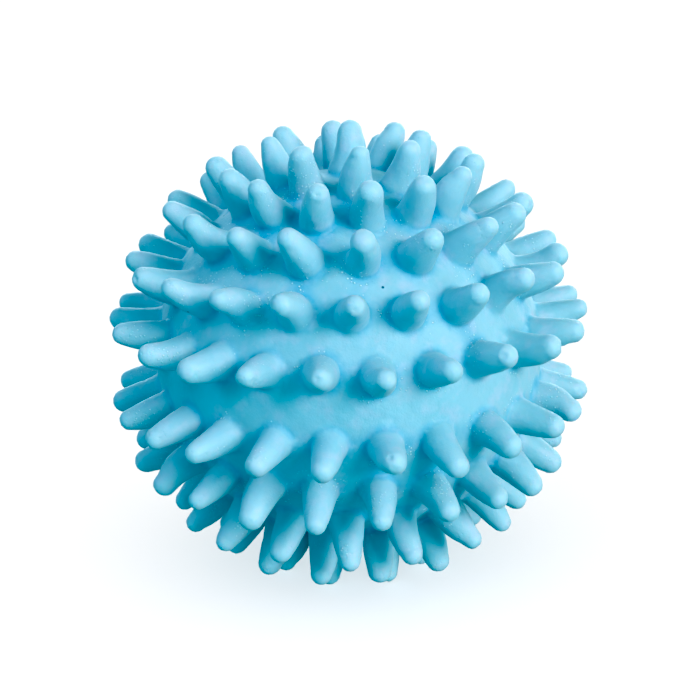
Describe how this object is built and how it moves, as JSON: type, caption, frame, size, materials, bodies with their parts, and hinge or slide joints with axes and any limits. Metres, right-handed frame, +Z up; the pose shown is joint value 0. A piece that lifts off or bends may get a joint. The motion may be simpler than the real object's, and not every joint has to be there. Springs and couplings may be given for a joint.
{
  "type": "spiky massage ball",
  "caption": "Hollow soft ball with rings of blunt rounded spikes all over, bonded from two halves, with an air valve and pull-out plug at its lower pole.",
  "frame": {"origin": "on the ball's vertical axis, at the level of the lowest spike tips, where the ball stands", "axes": "+Z up along the axis that the rings of spikes go round, away from the valve; -Y is the front"},
  "size_m": [0.0885, 0.0884, 0.086],
  "materials": {
    "skin": "matte soft rubber, sky blue, with a fine moulded grain",
    "valve_body": "matte soft rubber, a little darker than the skin",
    "valve_plug": "satin off-white plastic"
  },
  "bodies": {
    "ball": {"upper_shell": "skin", "lower_shell": "skin", "upper_spike_ring_1": "skin", "upper_spike_ring_2": "skin", "upper_spike_ring_3": "skin", "upper_spike_ring_4": "skin", "upper_spike_ring_5": "skin", "lower_spike_ring_1": "skin", "lower_spike_ring_2": "skin", "lower_spike_ring_3": "skin", "lower_spike_ring_4": "skin", "lower_spike_ring_5": "skin", "upper_pole_spike": "skin", "valve_body": "valve_body"},
    "plug": {"valve_plug": "valve_plug"}
  },
  "joints": [
    {"name": "plug_pull", "type": "slide", "parent": "ball", "child": "plug", "axis": [0, 0, -1], "range_m": [0, 0.0074]}
  ]
}
